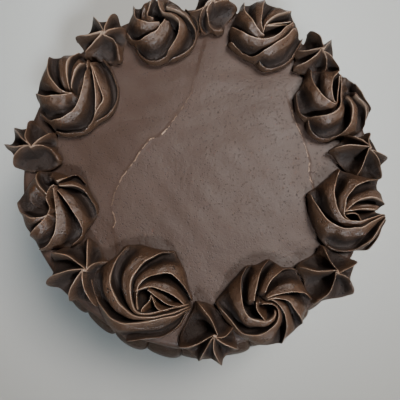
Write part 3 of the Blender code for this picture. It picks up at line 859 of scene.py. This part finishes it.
def attribute(tree, name):
    return put(tree, "Attribute", (), attribute_name=name)["Fac"]


def fall(tree, value, full, none):
    """One at full and beyond it, smoothly down to nought at none, whichever of the two is the greater."""
    ends = (("Value", value), ("From Min", full), ("From Max", none), ("To Min", 1.0), ("To Max", 0.0))
    return put(tree, "MapRange", ends, interpolation_type="SMOOTHSTEP")["Result"]


def ramp(tree, value, low, high, start, end):
    """From start to end as the value goes from low to high."""
    ends = (("Value", value), ("From Min", low), ("From Max", high), ("To Min", start), ("To Max", end))
    return put(tree, "MapRange", ends)["Result"]


def times(tree, first, second):
    return put(tree, "Math", ((0, first), (1, second)), operation="MULTIPLY")["Value"]


def plus(tree, first, second):
    return put(tree, "Math", ((0, first), (1, second)), operation="ADD")["Value"]


def times_plus(tree, value, factor, more):
    return put(tree, "Math", ((0, value), (1, factor), (2, more)), operation="MULTIPLY_ADD")["Value"]


def blend(tree, factor, first, second):
    values = (("Factor", factor), ("A", first), ("B", second))
    return put(tree, "Mix", values, data_type="RGBA")["Result"]


def painted_edge_highlight(tree, place, grain, mottle, look):
    """How much of the painted highlight shows: a thin pale line along a crest or mark, faded in places."""
    away = attribute(tree, "edge")
    if look.ragged:
        away = plus(tree, away, times_plus(tree, grain, EDGE_RAGGED, -EDGE_RAGGED / 2.0))
    away = put(tree, "Math", ((0, away),), operation="ABSOLUTE")["Value"]
    line = times(tree, fall(tree, away, *EDGE_FALL), attribute(tree, "mark"))
    if look.ragged:
        line = times(tree, line, fall(tree, noise(tree, place, *HIGHLIGHT_GAPS), *HIGHLIGHT_GAP_FALL))
    line = times(tree, line, ramp(tree, mottle, *EDGE_HIGHLIGHT_FADED_RANGE, EDGE_HIGHLIGHT_FADED, 1.0))
    return times(tree, line, look.edge_share)


def icing(name, look):
    """Chocolate buttercream: mottled brown, satin, with fine grain, small pores and pits painted dark as
    shade, painted shade in its valleys, and painted highlights on the lips and as pale lines along its crests
    and marks.
    """
    material = bpy.data.materials.new(name)
    material.use_nodes = True
    tree = material.node_tree
    shader = tree.nodes["Principled BSDF"]
    place = put(tree, "TexCoord", ())["Object"]
    mottle, grain, patches, lumps = (noise(tree, place, *kind) for kind in (MOTTLE, GRAIN, PATCHES, LUMPS))
    # pores and pits, dented by the bump and painted dark as their shade
    pore = fall(tree, cells(tree, place, look.pore_scale), *PORE_FALL)
    pore = times(tree, pore, fall(tree, patches, *PORE_PATCH_FALL))
    shaded_pit = fall(tree, cells(tree, place, SHADED_PIT_SCALE), *SHADED_PIT_FALL)
    shaded_pit = times(tree, shaded_pit, fall(tree, patches, *SHADED_PIT_PATCH_FALL))
    layers = (
        # painted shade in the valleys
        (times(tree, attribute(tree, "deep"), DEEP_SHADE_SHARE), DEEP_SHADE_COLOUR),
        # painted highlight on the lip beside each crest
        (times(tree, attribute(tree, "lip"), look.lip_share), LIP_HIGHLIGHT_COLOUR),
        # painted shade in the pores
        (times(tree, pore, look.pore_share), PIT_SHADE_COLOUR),
        # painted shade in the pits
        (times(tree, shaded_pit, SHADED_PIT_SHARE), PIT_SHADE_COLOUR),
        # painted highlight line along crests and marks
        (painted_edge_highlight(tree, place, grain, mottle, look), EDGE_HIGHLIGHT_COLOUR),
    )
    colour = blend(tree, mottle, opaque(look.dark), opaque(look.light))
    for share, layer in layers:
        colour = blend(tree, share, colour, opaque(layer))
    tree.links.new(colour, shader.inputs["Base Color"])
    height = times_plus(tree, pore, PORE_DEPTH, grain)
    height = times_plus(tree, shaded_pit, SHADED_PIT_DEPTH, height)
    height = times_plus(tree, lumps, look.lumps, height)
    bump = put(tree, "Bump", (("Strength", look.bump), ("Distance", MM), ("Height", height)))["Normal"]
    tree.links.new(bump, shader.inputs["Normal"])
    sheen = ramp(tree, mottle, *SHEEN_RANGE, look.roughness - SMOOTHER, look.roughness + ROUGHER)
    tree.links.new(times_plus(tree, attribute(tree, "dull"), DEEP_DULL, sheen), shader.inputs["Roughness"])
    shader.inputs["Specular IOR Level"].default_value = look.shine
    for key, value in ICING_BODY.items():
        shader.inputs[key].default_value = value
    return material


def build_stage():
    material = bpy.data.materials.new("pale_floor")
    material.use_nodes = True
    shader = material.node_tree.nodes["Principled BSDF"]
    shader.inputs["Base Color"].default_value = opaque(FLOOR_COLOUR)
    shader.inputs["Roughness"].default_value = FLOOR_ROUGHNESS
    corners = [(x * FLOOR_HALF, y * FLOOR_HALF, 0.0) for x, y in ((-1, -1), (1, -1), (1, 1), (-1, 1))]
    mesh = bpy.data.meshes.new("floor")
    mesh.from_pydata(corners, [], [(0, 1, 2, 3)])
    mesh.materials.append(material)
    floor = bpy.data.objects.new("floor", mesh)
    bpy.context.scene.collection.objects.link(floor)


def add_lamp(name, place, target, size, power, colour, spread):
    data = bpy.data.lights.new(name, "AREA")
    data.shape = "RECTANGLE"
    data.size, data.size_y = size
    data.energy = power
    data.color = colour
    data.spread = math.radians(spread)
    lamp = bpy.data.objects.new(name, data)
    lamp.location = place
    lamp.rotation_euler = (Vector(target) - Vector(place)).to_track_quat("-Z", "Y").to_euler()
    bpy.context.scene.collection.objects.link(lamp)


def build_light():
    for lamp in LAMPS:
        add_lamp(*lamp)
    world = bpy.data.worlds.new("studio")
    world.use_nodes = True
    background = world.node_tree.nodes["Background"]
    background.inputs["Color"].default_value = opaque(ROOM_COLOUR)
    background.inputs["Strength"].default_value = ROOM_STRENGTH
    bpy.context.scene.world = world


def build_camera():
    data = bpy.data.cameras.new("camera")
    data.sensor_width = CAMERA_SENSOR
    data.lens = CAMERA_LENS
    data.clip_start = CAMERA_NEAR
    camera = bpy.data.objects.new("camera", data)
    camera.location = CAMERA_PLACE
    camera.rotation_euler = Euler([math.radians(angle) for angle in CAMERA_TURN])
    bpy.context.scene.collection.objects.link(camera)
    bpy.context.scene.camera = camera


def build_swirls(material):
    for number, (node, (place, hollow, knots)) in enumerate(SWIRLS.items()):
        fins = INNER_FINS.get(node, ())
        mound = Mound(place, knots, SWIRL_RISE, SWIRL_ROLL, SWIRL_BULGE, SWIRL_BULGE_MOST, hollow, fins)
        build_mound(node, mound, material, SWIRL_SEED + SEED_STEP * number)


def build_stars(material):
    """Each arm runs from its tip to the star's peak, bent evenly along its way."""
    for number, (node, (place, arms)) in enumerate(STARS.items()):
        knots = []
        for arm in arms:
            knots.append((arm, (STAR_EYE, arm[1], 2 * (arm[1] + HALF_TURN) - arm[2])))
        mound = Mound(place, knots, STAR_RISE, STAR_ROLL, STAR_BULGE, STAR_BULGE_MOST)
        build_mound(node, mound, material, STAR_SEED + SEED_STEP * number)


piped = icing("icing_piped_satin", PIPED)
build_stage()
build_light()
build_camera()
build_body(icing("icing_coat_smooth", COAT))
build_swirls(piped)
build_stars(piped)
for number in range(SHELL_COUNT):
    build_shell(number, piped)


bpy.context.view_layer.update()
